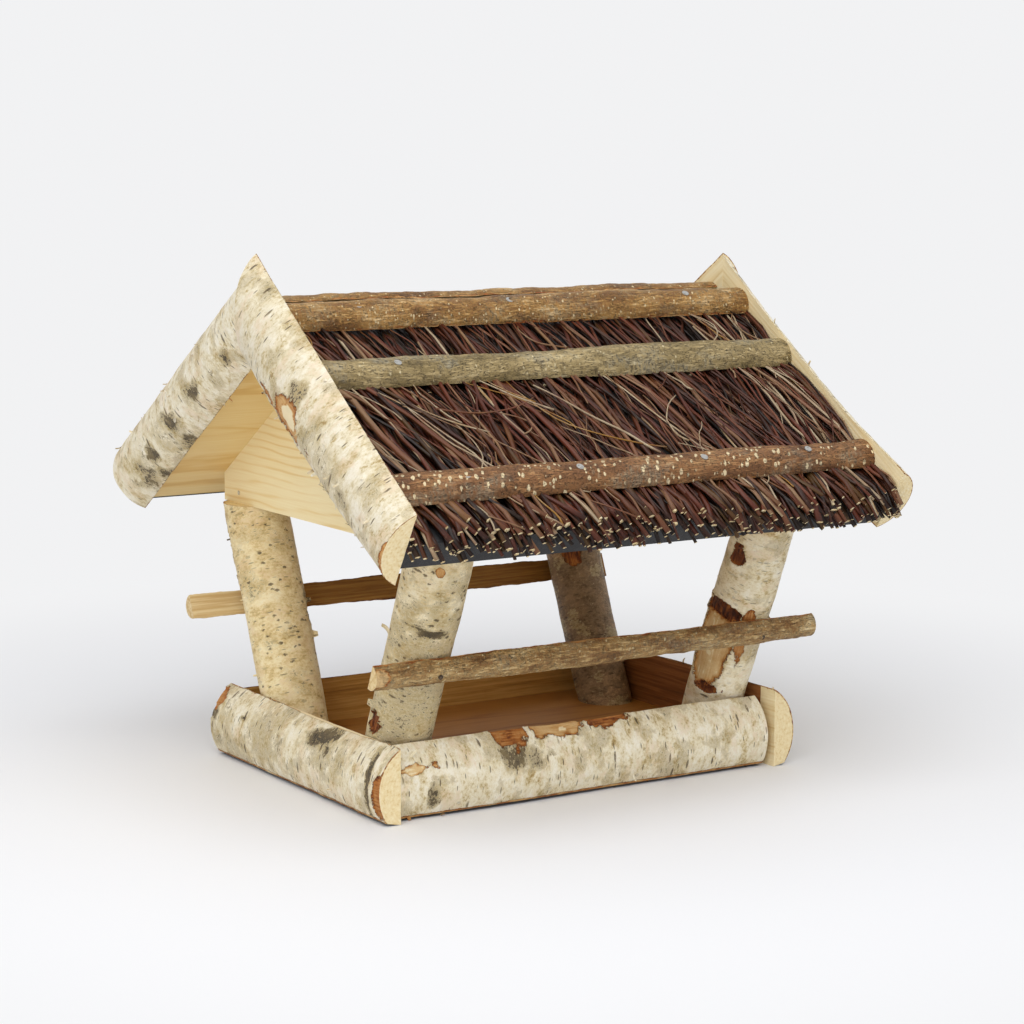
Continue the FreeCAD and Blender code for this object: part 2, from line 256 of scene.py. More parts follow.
def birch_bark():
    """Papery bark: cream, crumbled to tan and grey in places, with dark dashes across and bare spots.

    The tone of a log turns it from white (0) to the yellow of young wood (1) or to dark (-1)."""
    f = Finish("birch_bark")
    grain = f.attribute("grain", "Vector")
    tone = f.attribute("tone")
    stain = f.attribute("stain")
    crumbs = f.streaks(grain, 1.0, 0.62, 0.58, 9, 0.74, 0.3)
    mottle = f.streaks(grain, 1.0, 0.65, 0.11, 5, 0.62)
    clouds = f.streaks(grain, 1.0, 0.8, 0.045, 4, 0.58)
    crumble = crumbs - 0.5
    skin = mottle * 0.5 + crumbs * 0.5

    white = f.ramp(skin, "37 A88D58, 42 CDB98C, 48 E8DCBC, 58 F6EFDC")
    yellow = f.ramp(skin, "36 B2935A, 44 DCC186, 53 F0DCA8, 66 F8ECC8")
    shade = f.mix(f.rise(tone, 0.0, 1.0), white, yellow)
    dark = f.ramp(skin, "38 38220F, 60 86602F")
    shade = f.mix(f.rise(tone, 0.0, -1.0) * 0.9, shade, dark)
    blush = f.rise(f.streaks(grain, 1.0, 0.6, 0.06, 5, 0.65), 0.52, 0.60)
    shade = f.mix(blush * f.rise(crumbs, 0.35, 0.62) * 0.35, shade, colour("D9B084"))
    young = f.rise(tone, 0.2, 1.0)
    patches = f.rise(clouds + crumble * 0.30, 0.545, 0.575) * (0.50 - young * 0.40)
    khaki = patches.either(f.rise(stain + crumble * 1.7, 0.16, 0.30) * 0.66)
    shade = f.mix(khaki, shade, f.ramp(crumbs, "40 8F7A4C, 52 B8A579, 64 D8CBA6"))
    worn = f.rise(clouds + crumble * 1.5, 0.72, 0.80)
    shade = f.mix(worn * 0.75, shade, f.ramp(crumbs, "50 4E4228, 62 8A7B50"))

    gap, luck = f.spots(grain, 0.40, 0.075, f.wobble(grain, 0.3, 0.10))
    dash = f.rise(gap + luck * 0.14, 0.33, 0.23) * f.rise(luck, 0.40, 0.48)
    gap, luck = f.spots(grain, 0.17, 0.042, f.wobble(grain, 0.12, 0.14))
    slash = f.rise(gap, 0.20, 0.12) * f.rise(luck, 0.55, 0.62) * f.rise(tone, 0.9, 0.5)
    gap, luck = f.spots(grain, 0.20, 0.115, f.wobble(grain, 0.5, 0.22))
    dot = f.rise(gap + luck * 0.12, 0.34, 0.22) * f.rise(luck, 0.30, 0.40) * f.rise(tone, 0.1, 0.5)
    dashes = (dash * f.rise(abs(tone - 0.5), 0.08, 0.35)).either(dot).either(slash)
    ink = f.ramp(mottle, "40 3A2B1C, 60 6F5C3C")
    shade = f.mix(dashes * f.rise(crumbs, 0.30, 0.50) * 0.85, shade, ink)
    # Dark where the stain attribute is high: real stains where marks name them, and painted shade along the
    # rims' lowest bark edge
    soot_and_shade = f.rise(stain * 0.92 + crumble * 3.2 + (mottle - 0.5) * 1.3, 0.60, 0.78)
    shade = f.mix(soot_and_shade * 0.9, shade, f.ramp(mottle, "40 241A10, 52 4A3B25, 66 75643F"))

    peel = f.attribute("peel") + crumble * 0.3
    bare = f.rise(peel, 0.49, 0.51)
    fibres = f.streaks(grain, 0.12, 1.2, 0.5, 5, 0.62)
    under = f.ramp(
        fibres * 0.6 + mottle * 0.4 + f.attribute("wood"),
        "36 3A1A0C, 46 6E3814, 56 A9682E, 74 CB9C60, 110 E3C794, 140 EFDDB4")
    lip = f.rise(abs(peel - 0.5), 0.04, 0.005)
    under = f.mix(lip * 0.6, under, colour("35200F"))
    shade = f.mix(bare, shade, under)
    height = crumbs * 1.1 + mottle * 0.5 - dashes * 0.35 - bare * 0.7
    height = height + fibres * bare * 0.5 - soot_and_shade * 0.2 - khaki * 0.15
    roughness = crumbs * 0.3 + bare * 0.12 + 0.38
    return f.surface(shade, roughness, f.bump(height, 0.8 * MM), 0.3)


def cut_wood(name, pale, middle, dark, rind, rind_depth):
    """Split or sawn wood of a log: fibres along it, faint yearly rings and the cut edge of its bark."""
    f = Finish(name)
    grain = f.attribute("grain", "Vector")
    fibres = f.streaks(grain, 0.03, 1.0, 1.3, 5, 0.65)
    streaks = f.streaks(grain, 0.012, 0.35, 1.0, 4, 0.6)
    radius, y, z = f.parts(f.attribute("section", "Vector"))
    from_pith = (y * y + z * z).power(0.5)
    years = (from_pith * 2.6 + f.noise(grain, 0.12, 3) * 5.0).sine() * 0.5 + 0.5
    shade = f.ramp(
        fibres * 0.20 + streaks * 0.50 + years * 0.03 + 0.15,
        f"34 {dark}, 47 {middle}, 62 {pale}")
    patch = f.rise(f.noise(grain, 0.05, 4, 0.6), 0.58, 0.74) * 0.18
    shade = f.mix(patch, shade, colour(dark))
    depth = radius - from_pith + (f.noise(grain, 0.25, 4, 0.6) - 0.5) * rind_depth * 2.4
    edge = f.rise(depth, rind_depth, rind_depth * 0.65)
    shade = f.mix(edge, shade, f.ramp(f.noise(grain, 0.35, 4, 0.6), rind))
    fresh = f.rise(f.attribute("wood"), 0.6, 0.95)
    shade = f.mix(fresh * 0.85, shade, f.ramp(streaks, "40 D0B07A, 60 E8D4A6"))
    height = fibres * 0.6 + years * 0.15 - edge * 0.4
    return f.surface(shade, fibres * 0.2 + 0.55, f.bump(height, 0.3 * MM, 0.8), 0.25)


def stick_bark(name, shades, fleck, fleck_share, fleck_size, scar_share, coarse, grey):
    """Thin bark of a cut stick: wrinkled, with pale flecks across it and patches rubbed off."""
    f = Finish(name)
    grain = f.attribute("grain", "Vector")
    clouds = f.streaks(grain, 0.4, 1.0, 0.07, 4, 0.6)
    fibres = f.streaks(grain, 0.13, 0.8, 0.75, 6, 0.70, 0.5)
    across = f.streaks(grain, 1.0, 0.35, 0.55, 6, 0.70, 0.3)
    shade = f.ramp(clouds * 0.42 + fibres * 0.32 + across * 0.30, shades)
    film = f.rise(f.streaks(grain, 0.5, 1.0, 0.045, 5, 0.65), 0.50, 0.62) * grey
    shade = f.mix(film * f.rise(across, 0.35, 0.60), shade, colour("9A927C"))
    slanted = f.turned(grain, (0, 0.45, 0.45))
    gap, luck = f.spots(slanted, 0.58, 0.34, f.wobble(grain, 0.6, 0.12), fleck_size)
    gap = gap + (luck - 1 + fleck_share) * (0.26 / fleck_share) + (across - 0.5) * 0.6
    flecks = f.rise(gap, 0.47, 0.37) * f.rise(luck, 1 - fleck_share, 1.03 - fleck_share)
    shade = f.mix(flecks * 0.9, shade, colour(fleck))
    cracks = f.rise(abs(fibres - 0.5), 0.03, 0.004) * f.rise(across, 0.42, 0.56)
    shade = f.mix(cracks * 0.65, shade, colour("24160C"))
    peel = f.attribute("peel") + (f.streaks(grain, 0.35, 1.0, 0.30, 5, 0.65) - 0.5) * 0.6
    bare = f.rise(peel + scar_share, 0.50, 0.55)
    under = f.ramp(
        f.streaks(grain, 0.12, 1.0, 0.5, 4, 0.6) + f.attribute("wood"),
        "35 6E3513, 50 A25A22, 62 C08A4E, 100 DDBB86")
    shade = f.mix(bare, shade, under)
    height = fibres * coarse + across * 0.45 * coarse + flecks * 0.3 - bare * 0.4 - cracks * 0.6
    return f.surface(shade, fibres * 0.25 + 0.42, f.bump(height, 0.8 * MM), 0.35)


def pine(name, turn, through, pale="F5E5B8", middle="EBD196", dark="D3A766", spread=1.0):
    """Planed board: pale, with faint growth lines along the grain that widen in places."""
    f = Finish(name)
    lined = f.turned(f.place(), turn, through)
    wander = f.streaks(lined, 0.004, 0.02, 1.0, 3, 0.5)
    _, y, z = f.parts(lined)
    depth = (y * y * 0.012 + z * z * 1.2).power(0.5)
    years = (depth * 1.15 * spread + wander * 34.0).sine() * 0.5 + 0.5
    fibres = f.streaks(lined, 0.02, 0.9, 1.0, 5, 0.65)
    clouds = f.streaks(lined, 0.008, 0.03, 1.0, 3, 0.5)
    line = years.power(5.0) * f.rise(clouds, 0.30, 0.62)
    ring = line * 0.24 + fibres * 0.30 + clouds * 0.22 - 0.06
    shade = f.ramp(ring, f"12 {pale}, 36 {middle}, 80 {dark}")
    return f.surface(shade, fibres * 0.2 + 0.45, f.bump(line * 0.4 + fibres * 0.5, 0.12 * MM, 0.7), 0.3)


def felt_finish():
    """Roofing felt: dark grey mineral grit on a matt sheet."""
    f = Finish("felt")
    spot = f.place()
    grit = f.noise(spot, 1.8, 3, 0.7)
    blotch = f.noise(spot, 0.05, 3, 0.6)
    shade = f.ramp(grit * 0.7 + blotch * 0.3, "35 1D1D1F, 55 363638, 70 575757")
    return f.surface(shade, grit * 0.2 + 0.65, f.bump(grit, 0.3 * MM, 0.8))


def nail_finish(name, bright, dull, share):
    """Steel heads, bright where rubbed and dull or rusty elsewhere."""
    f = Finish(name)
    spot = f.place()
    worn = f.rise(f.noise(spot, 0.7, 3, 0.6), share - 0.08, share + 0.08)
    shade = f.mix(worn, colour(bright), colour(dull))
    dents = f.bump(f.noise(spot, 2.0, 2), 0.1 * MM, 0.5)
    return f.surface(shade, worn * 0.3 + 0.32, dents, metallic=0.9 - worn * 0.5)


def twig_bark():
    """Thin twigs, each with its own tint from near black by red-brown to grey and ochre."""
    f = Finish("twig_bark")
    tint = f.attribute("tint")
    grain = f.attribute("grain", "Vector")
    mottle = f.streaks(grain, 0.12, 1.0, 0.8, 5, 0.65)
    streak = f.streaks(grain, 0.02, 0.25, 1.0, 3)
    shade = f.ramp(
        tint + (mottle - 0.5) * 0.20 + (streak - 0.5) * 0.45,
        "0 140904, 18 2C150A, 36 431F10, 50 5A2D18, 64 6D4931, 78 8A6D50, 92 AE9E84, 100 936A2E")
    kind = f.streaks(grain, 0.012, 0, 1.0, 2)
    shade = f.mix(f.rise(kind, 0.52, 0.60) * 0.35, shade, colour("6E3424"))
    shade = f.mix(f.rise(kind, 0.46, 0.38) * 0.25, shade, colour("84602E"))
    bloom = f.rise(f.noise(grain, 0.22, 4, 0.65), 0.56, 0.72) * 0.22
    shade = f.mix(bloom, shade, colour("8A7058"))
    return f.surface(shade, mottle * 0.35 + 0.22, f.bump(mottle, 0.3 * MM, 0.9), 0.28)


def twig_cut():
    """Pale cut ends of the twigs, with a darker pith."""
    f = Finish("twig_cut")
    spot = f.place()
    shade = f.ramp(f.noise(spot, 0.5, 3, 0.6), "30 A98656, 50 E2CB98, 70 F6EBCB")
    fuzz = f.bump(f.noise(spot, 1.5, 2), 0.15 * MM, 0.6)
    return f.surface(shade, f.noise(spot, 1.2, 2) * 0.2 + 0.6, fuzz)


BIRCH_BARK = birch_bark()
BIRCH_RIND = "35 6B3D1C, 50 A8794A, 60 D0B080"
BIRCH_WOOD = cut_wood("birch_wood", "F3E4BE", "E8D2A0", "CBA76C", BIRCH_RIND, 0.9)
# Darker golden-brown wood for the rims' inner faces, painted shade inside the tray; the right rim's inner
# face takes a darker one still, painted shade as well
TRAY_RIND = "35 5B3214, 60 A87C48"
TRAY_WOOD = cut_wood("tray_wood", "CFA05C", "B0803C", "744A1E", TRAY_RIND, 0.9)
RIGHT_RIM_SHADE_RIND = "35 4A2810, 60 A87C48"
RIGHT_RIM_SHADE_WOOD = cut_wood("right_rim_shade_wood", "A0683A", "7C4A22", "4E2A10", RIGHT_RIM_SHADE_RIND, 0.9)
# Near-black wood for the sawn face under the rims' bark: painted shade of the gap beneath them
UNDER_SHADE_RIND = "35 1E140A, 65 34230F"
UNDER_SHADE_WOOD = cut_wood("under_shade_wood", "3E2C18", "2A1C0E", "1A1008", UNDER_SHADE_RIND, 0.9)
HAZEL_RIND = "35 3E2414, 50 6E4626, 65 94693E"
HAZEL_WOOD = cut_wood("hazel_wood", "E6D2A4", "D2B47E", "9C7440", HAZEL_RIND, 0.7)
# A darker copy of the hazel wood for the rear perch's flat face: painted shade under the roof
SHADED_WOOD = cut_wood("shaded_wood", "AA7F40", "845A28", "543512", HAZEL_RIND, 0.7)

# Shades, fleck, share and size of the flecks, share of scars, relief and share of grey film
RIDGE_BARK = stick_bark(
    "ridge_bark", "38 4A2F14, 46 7E5628, 54 AE8448, 66 DABE90",
    "E6D2A6", 0.20, 0.95, 0.05, 1.4, 0.3)
UPPER_BARK = stick_bark(
    "upper_bark", "38 54462C, 46 847249, 55 A99468, 68 CDBC92",
    "D5C69E", 0.12, 0.8, -0.12, 0.8, 0.8)
LOWER_BARK = stick_bark(
    "lower_bark", "38 42250F, 46 6E4828, 55 8F643C, 68 B89264",
    "E6D3AA", 0.62, 0.52, -0.05, 0.40, 0.5)
PERCH_BARK = stick_bark(
    "perch_bark", "38 402A12, 46 845D30, 54 B8955F, 66 E8D2A2",
    "D8C69A", 0.14, 0.8, 0.07, 1.8, 0.4)
TWIG_BARK = twig_bark()
TWIG_CUT = twig_cut()

# Which of a log's materials its faces take
OUTSIDE, SAWN, UNDER_SHADE, TRAY_SIDE = range(4)
BIRCH = (BIRCH_BARK, BIRCH_WOOD)


# Bars: every log, post, batten, perch and twig starts as one closed tube

def bar(rings, sides):
    """Closed tube of unit length and radius along X, whose points tell their place on it."""
    bm = bmesh.new()
    bmesh.ops.create_grid(bm, x_segments=rings, y_segments=sides, size=0.5)
    for vert in bm.verts:
        turn = 2 * pi * vert.co.y
        vert.co = (vert.co.x + 0.5, sin(turn), cos(turn))
    seam = [vert for vert in bm.verts if vert.co.z < -0.99]
    bmesh.ops.remove_doubles(bm, verts=seam, dist=1e-4)
    rim = [edge for edge in bm.edges if edge.is_boundary]
    bmesh.ops.holes_fill(bm, edges=rim, sides=0)
    bmesh.ops.recalc_face_normals(bm, faces=bm.faces[:])
    return bm


def is_end(face):
    """The flat ends of a bar are its only faces with more than four corners."""
    return len(face.verts) > 4


def lay(start, end, crown):
    """Where a piece lies: its X runs from start to end, and its Z is the side of the crown."""
    x = (end - start).normalized()
    z = (crown - crown.project(x)).normalized()
    turned = Matrix((x, z.cross(x), z)).transposed().to_4x4()
    turned.translation = start
    return turned


@dataclass
class Mark:
    """A patch on the bark: its middle and half sizes along and around the log and its depth in
    millimetres, and its shares of raggedness, of pale wood and of stain."""

    along: float
    around: float
    length: float
    width: float
    depth: float
    ragged: float
    wood: float
    stain: float = 0

    def field(self, along, around, jitter):
        """1 in the middle, 0 on the ragged outline and below that outside."""
        u = (along - self.along * MM) / (self.length * MM)
        w = (around - self.around * MM) / (self.width * MM)
        return 1 - hypot(u, w) + self.ragged * jitter


@dataclass
class Bark:
    """The relief and the patches of one log's bark, in millimetres.

    Edge is the width of bare wood along the sawn edges; each loose strip has its heading, its
    place along and around the log, its length, its width and the radius of its curl."""

    seed: int
    swell: float = 1.2
    lump: float = 0.5
    wrinkle: float = 0.16
    edge: float = 0.9
    tone: float = 0.0
    curls: int = 0
    marks: tuple = ()
    loose: tuple = ()

    def __post_init__(self):
        self.marks = [Mark(*mark) for mark in self.marks]
        self.random = random.Random(self.seed)
        self.shift = Vector((self.seed * 1.37, self.seed * 0.71, self.seed * 2.13))

    def jitter(self, spot):
        return noise.noise(spot * 95 + self.shift) + 0.5 * noise.noise(spot * 260 + self.shift)

    def relief(self, spot, along, around):
        """How far the bark stands out or in at a place, given on the log and in space."""
        seeded = spot + self.shift
        out = self.swell * MM * noise.noise(seeded * 14)
        out += self.lump * MM * noise.noise(seeded * 62)
        fine = Vector((spot.x * 240, spot.y * 60, spot.z * 60)) + self.shift
        out += self.wrinkle * MM * noise.noise(fine)
        if self.marks:
            jitter = self.jitter(spot)
            for mark in self.marks:
                field = mark.field(along, around, jitter)
                if field > -0.4:
                    sunk = min(max(field * 9, 0), 1)
                    lip = exp(-(field * 11 + 0.5) ** 2)
                    out += mark.depth * MM * (0.7 * lip - sunk)
        return out

    def patches(self, spot, along, around, edge_gap):
        """Shares of bare bark, pale wood and dark stain at a place."""
        jitter = self.jitter(spot)
        peel = 0.5 + 60 * (self.edge * MM * (0.6 + 1.1 * jitter) - edge_gap) if self.edge else 0.0
        wood = 0.08 + 0.5 * abs(jitter) if self.edge and peel > 0.5 else 0.0
        stain = 0.0
        for mark in self.marks:
            field = mark.field(along, around, jitter)
            if mark.stain:
                stain = max(stain, mark.stain * min(max(0.5 + field, 0), 1))
            elif 0.5 + 0.5 * field > peel or (field > 0 and mark.wood == 1):
                peel = max(peel, 0.5 + 0.5 * field)
                wood = mark.wood * min(max(field * 5, 0), 1)
        return min(max(peel, 0), 1), wood, stain


def finish_piece(bm, name, materials, node):
    """Turns a bmesh into a piece of the object that rides on the frame in place of a node."""
    mesh = bpy.data.meshes.new(name)
    for face in bm.faces:
        face.smooth = True
    bm.to_mesh(mesh)
    bm.free()
    for material in materials:
        mesh.materials.append(material)
    piece = bpy.data.objects.new(name, mesh)
    bpy.context.scene.collection.objects.link(piece)
    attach(piece, "root")
    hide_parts(node)


def sharpen(bm):
    """Keeps a crease wherever two materials or two planes meet."""
    for edge in bm.edges:
        faces = edge.link_faces
        if len(faces) == 2:
            split = faces[0].material_index != faces[1].material_index
            edge.smooth = not (split or faces[0].normal.dot(faces[1].normal) < 0.6)


def join(bm, more):
    """Adds a second mesh under construction to the first and gives it up."""
    mesh = bpy.data.meshes.new("more")
    more.to_mesh(mesh)
    more.free()
    bm.from_mesh(mesh)
    bpy.data.meshes.remove(mesh)


def saw(bm, point, normal, material=SAWN):
    """Saws off what lies on the normal's side of a plane and closes the wood there."""
    geometry = bm.verts[:] + bm.edges[:] + bm.faces[:]
    cut = bmesh.ops.bisect_plane(
        bm, geom=geometry, dist=1e-7, plane_co=point, plane_no=normal, clear_outer=True, clear_inner=False)
    edges = [item for item in cut["geom_cut"] if isinstance(item, bmesh.types.BMEdge)]
    for face in bmesh.ops.holes_fill(bm, edges=edges, sides=0)["faces"]:
        face.normal_update()
        if face.normal.dot(normal) < 0:
            face.normal_flip()
        face.material_index = material


# Loose strips of bark
STRIP_RINGS, STRIP_SIDES = 5, 4
STRIP_THICKNESS = 0.22 * MM
STRIP_TAPER = 0.45
STRIP_ABOVE_GROUND = 0.4 * MM


def plain_tube(name, rings, sides):
    tube = bar(rings, sides)
    mesh = bpy.data.meshes.new(name)
    tube.to_mesh(mesh)
    tube.free()
    return mesh


STRIP = plain_tube("strip_of_bark", STRIP_RINGS, STRIP_SIDES)


class Log:
    """A round log, or a split one, batten or perch with a rise, from its place, size and bark."""

    def __init__(self, place, length, width, bark, cell, rise=None, bow=0.0, widening=1.0):
        radius = (width * width / 4 + rise * rise) / (2 * rise) if rise else width / 2
        self.place = place
        self.length = length
        self.radius = radius
        self.bark = bark
        self.rise = rise
        self.bow = bow
        self.widening = widening
        self.half = pi if rise is None else acos((radius - rise) / radius)
        self.flat = 0.0 if rise is None else radius - rise
        self.width = 2 * radius * sin(self.half)
        self.arc_steps = max(12, round(2 * self.half * radius / cell))
        self.flat_steps = 0 if rise is None else max(4, round(self.width / (2.2 * cell)))
        self.bm = bar(max(4, round(length / cell)), self.arc_steps + self.flat_steps)
        self._shape()

    def _shape(self):
        sides = self.arc_steps + self.flat_steps
        turns = {}
        for vert in self.bm.verts:
            turn = atan2(vert.co.y, vert.co.z) / (2 * pi) * sides
            turns[vert] = round(turn) % sides
        for face in self.bm.faces:
            if is_end(face) or any(turns[vert] > self.arc_steps for vert in face.verts):
                face.material_index = SAWN
        for vert in self.bm.verts:
            vert.co = self._point(vert.co.x * self.length, turns[vert])
        bmesh.ops.transform(self.bm, matrix=self.place, verts=self.bm.verts[:])

    def _point(self, along, turn):
        """Point of the surface in the log's own frame, whose X is the pith's line."""
        share = along / self.length
        if turn <= self.arc_steps:
            angle = -self.half + 2 * self.half * turn / self.arc_steps
            radius = self.radius
            spot = Vector((along, radius * sin(angle), radius * cos(angle)))
            radius += self.bark.relief(spot, along, angle * self.radius)
            y = radius * sin(angle)
            z = radius * cos(angle) - self.flat
        else:
            across = 1 - 2 * (turn - self.arc_steps) / self.flat_steps
            y = across * self.width / 2
            z = 0.25 * MM * noise.noise(Vector((along * 45, y * 160, 0)) + self.bark.shift)
        y *= 1 + (self.widening - 1) * share
        arch = 4 * share * (1 - share)
        return Vector((along, y + self.bow * arch, z))

    def saw(self, point, normal, material=SAWN):
        saw(self.bm, point, normal, material)

    def curl(self, strips, heading, along, around, length, width, radius):
        """A thin strip of bark that has come loose and rolls off the log towards a heading."""
        angle = around / self.radius
        turn = (angle + self.half) / (2 * self.half) * self.arc_steps
        outward = Vector((0, sin(angle), cos(angle)))
        sideways = Vector((0, cos(angle), -sin(angle)))
        onward = Vector((cos(heading), 0, 0)) + sideways * sin(heading)
        across = onward.cross(outward)
        root = self._point(along, turn) - outward * 0.2 * MM
        first = len(strips.verts)
        strips.from_mesh(STRIP)
        strips.verts.ensure_lookup_table()
        for vert in strips.verts[first:]:
            share, y, z = vert.co
            bend = share * length / radius
            spot = root + onward * (radius * sin(bend)) + outward * (radius * (1 - cos(bend)))
            normal = outward * cos(bend) - onward * sin(bend)
            spot += across * (y * width / 2 * (1 - STRIP_TAPER * share)) + normal * (z * STRIP_THICKNESS)
            vert.co = self.place @ spot
            vert.co.z = max(vert.co.z, STRIP_ABOVE_GROUND)

    def peelings(self, first, last):
        """The loose strips of a log: those that its bark names and others strewn between two places."""
        rng = self.bark.random
        strips = bmesh.new()
        for heading, *sizes in self.bark.loose:
            self.curl(strips, heading, *metres(*sizes))
        for _ in range(self.bark.curls):
            along = rng.uniform(first, last)
            around = rng.uniform(-0.94, 0.94) * self.half * self.radius
            heading = rng.choice((-1, 1)) * pi / 2 + rng.gauss(0, 0.35)
            length = rng.uniform(2.5, 7.0) * MM
            width = rng.uniform(1.0, 3.2) * MM
            self.curl(strips, heading, along, around, length, width, rng.uniform(0.5, 1.6) * length)
        join(self.bm, strips)

    def _describe(self):
        """Writes down, at each point, its place on the log and the state of the bark."""
        layers = self.bm.verts.layers
        grain, section = (layers.float_vector.new(name) for name in ("grain", "section"))
        peel, wood, stain, tone = (layers.float.new(name) for name in ("peel", "wood", "stain", "tone"))
        home = self.place.inverted()
        for vert in self.bm.verts:
            spot = home @ vert.co
            wide = 1 + (self.widening - 1) * spot.x / self.length
            centred = Vector((spot.x, spot.y / wide, spot.z + self.flat))
            angle = atan2(centred.y, centred.z)
            edge_gap = (self.half - abs(angle)) * self.radius if self.rise else 1.0
            edge_gap = min(edge_gap, 1.6 * (vert.co.z - RIM_GAP))
            shares = self.bark.patches(centred, spot.x, angle * self.radius, edge_gap)
            vert[grain] = centred / MM + self.bark.shift * 100
            vert[peel], vert[wood], vert[stain] = shares
            # Painted shade: the rims' bark is stained dark along its lowest edge, as if in shadow over the
            # gap beneath
            if vert.co.z < RIM_GAP:
                vert[stain] = 1.2
            vert[tone] = self.bark.tone
            vert[section] = Vector((self.radius, centred.y, centred.z)) / MM

    def piece(self, node, form, materials):
        self._describe()
        sharpen(self.bm)
        finish_piece(self.bm, node + "_" + form, materials, node)


# Tray

# Marks and loose strips as they lie on each log: along from its start, around from the middle of
# its bark, and then the rest of what Mark and Bark name
RIM_BARKS = {
    "rim_front": Bark(11, curls=26, marks=(
        (97, 34, 18, 14, 0.9, 0.55, 0.08), (137, 36, 28, 13, 0.7, 0.45, 0.30),
        (141, 31, 9, 4, 0.2, 0.5, 0.7), (177, 36, 22, 10, 0.7, 0.55, 0.06),
        (94, 15, 11, 13, 0.5, 0.8, 0, 0.9), (112, 12, 9, 9, 0.4, 0.9, 0, 0.6),
        (12, 15, 15, 3.5, 0.7, 0.9, 0.45), (27, -7, 4, 9, 0.4, 0.7, 0, 0.9),
    ), loose=((1.9, 113, 3, 9, 2, 8), (0.6, 6, 20, 14, 2.2, 16))),
    "rim_rear": Bark(12, curls=26),
    "rim_left": Bark(13, curls=22, marks=(
        (171, -8, 30, 24, 0, 0.5, 0, 0.36), (82, -12, 34, 19, 0, 0.6, 0, 0.36),
        (234, -4, 13, 26, 0, 0.5, 0, 0.30), (95, -38, 82, 3, 0.3, 0.12, 0.95),
        (2, 3, 7, 18, 0.9, 0.3, 0.08), (88, -25, 19, 8, 0.5, 0.9, 0, 1.1),
        (17, -6, 3, 22, 0.5, 0.7, 0, 1.1), (255, -24, 9, 9, 0.9, 0.6, 0.12),
        (254, -10, 6, 8, 0.5, 0.7, 0, 0.9), (208, -15, 3.5, 1.4, 0.3, 0.4, 0, 1.0),
    )),
    "rim_right": Bark(14, curls=22),
}
TOUCH = 1 * MM


def rims():
    """Four split logs on edge around the floor board, bark outwards, sawn level underneath."""
    for node, out, run, face_at in (
        ("rim_front", -BACK, ACROSS, RIM_FACE_Y),
        ("rim_rear", BACK, ACROSS, RIM_FACE_Y),
        ("rim_left", -ACROSS, BACK, RIM_FACE_X),
        ("rim_right", ACROSS, BACK, RIM_FACE_X),
    ):
        lo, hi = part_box(node)
        width = hi.z + RIM_TRIM
        middle = out * face_at + UP * (hi.z - width / 2)
        start = middle + run * lo.dot(run)
        length = (hi - lo).dot(run)
        log = Log(lay(start, start + run * length, out), length, width, RIM_BARKS[node], 1.25 * MM,
                  rise=RIM_THICKNESS)
        log.saw(ORIGIN, -UP)
        # The bark's lower edge stands clear of the ground, and the sawn face beneath it takes near-black
        # wood, painted shade in that gap
        edge = out * (face_at + RIM_THICKNESS) + UP * RIM_GAP
        log.saw(edge, out * RIM_GAP - UP * RIM_THICKNESS, UNDER_SHADE)
        for face in log.bm.faces:
            x, y, _ = face.calc_center_median()
            in_tray = abs(x) < RIM_FACE_X + TOUCH and abs(y) < RIM_FACE_Y + TOUCH
            if face.material_index == SAWN and in_tray:
                face.material_index = TRAY_SIDE
        log.peelings(0.03 * length, 0.97 * length)
        # Inner faces take the darker wood of painted shade, darkest on the right rim
        tray_side = RIGHT_RIM_SHADE_WOOD if node == "rim_right" else TRAY_WOOD
        log.piece(node, "log", (*BIRCH, UNDER_SHADE_WOOD, tray_side))


# Posts

POST_BARKS = {
    "post_front_left": Bark(21, edge=0, tone=0.48, curls=8, marks=(
        (90, 10, 90, 75, 0, 0.7, 0, 0.42), (148, 5, 3.2, 11, 0.9, 0.5, 0, 1.4),
        (151, 20, 1.4, 9, 0.6, 0.6, 0, 0.9), (65, 35, 9, 6, 2.2, 0.3, -0.04),
        (196, 11, 4, 3, 0.4, 0.6, 0.25),
    ), loose=((1.5, 129, 50, 11, 5, 9), (1.5, 75, 40, 7, 9, 7))),
    "post_front_right": Bark(22, edge=0, tone=0.25, curls=12, marks=(
        (97, 32, 34, 18, 1.7, 0.2, 0.42), (129, 32, 8, 18, 1.9, 0.25, -0.10),
        (178, 30, 9, 6.5, 1.2, 0.45, -0.06), (118, 8, 24, 5, 0.8, 0.5, 0.10),
        (64, 24, 4.5, 10, 1.2, 0.5, -0.06),
    )),
    "post_rear_left": Bark(23, swell=0.9, lump=0.35, edge=0, tone=0.75, curls=14, marks=(
        (168, 57, 26, 9, 0.6, 0.8, 0, 1.1), (118, -24, 16, 4, 0.4, 0.9, 0, 0.9),
    ), loose=(
        (1.4, 178, 57, 12, 2, 7), (1.7, 160, 56, 6, 5, 4), (1.4, 148, 57, 7, 6, 4),
        (-1.5, 118, -20, 6, 5, 5), (-1.7, 92, -20, 6, 7, 4),
    )),
    "post_rear_right": Bark(24, edge=0, tone=-0.95, curls=8, marks=(
        (133, 14, 11, 8, 1.0, 0.4, -0.05),
    )),
}
# Millimetres that are sawn off a post at its foot, and at both ends together
POST_FOOT = 14
POST_SPARE = 34
BARK_RELIEF = 0.5 * MM


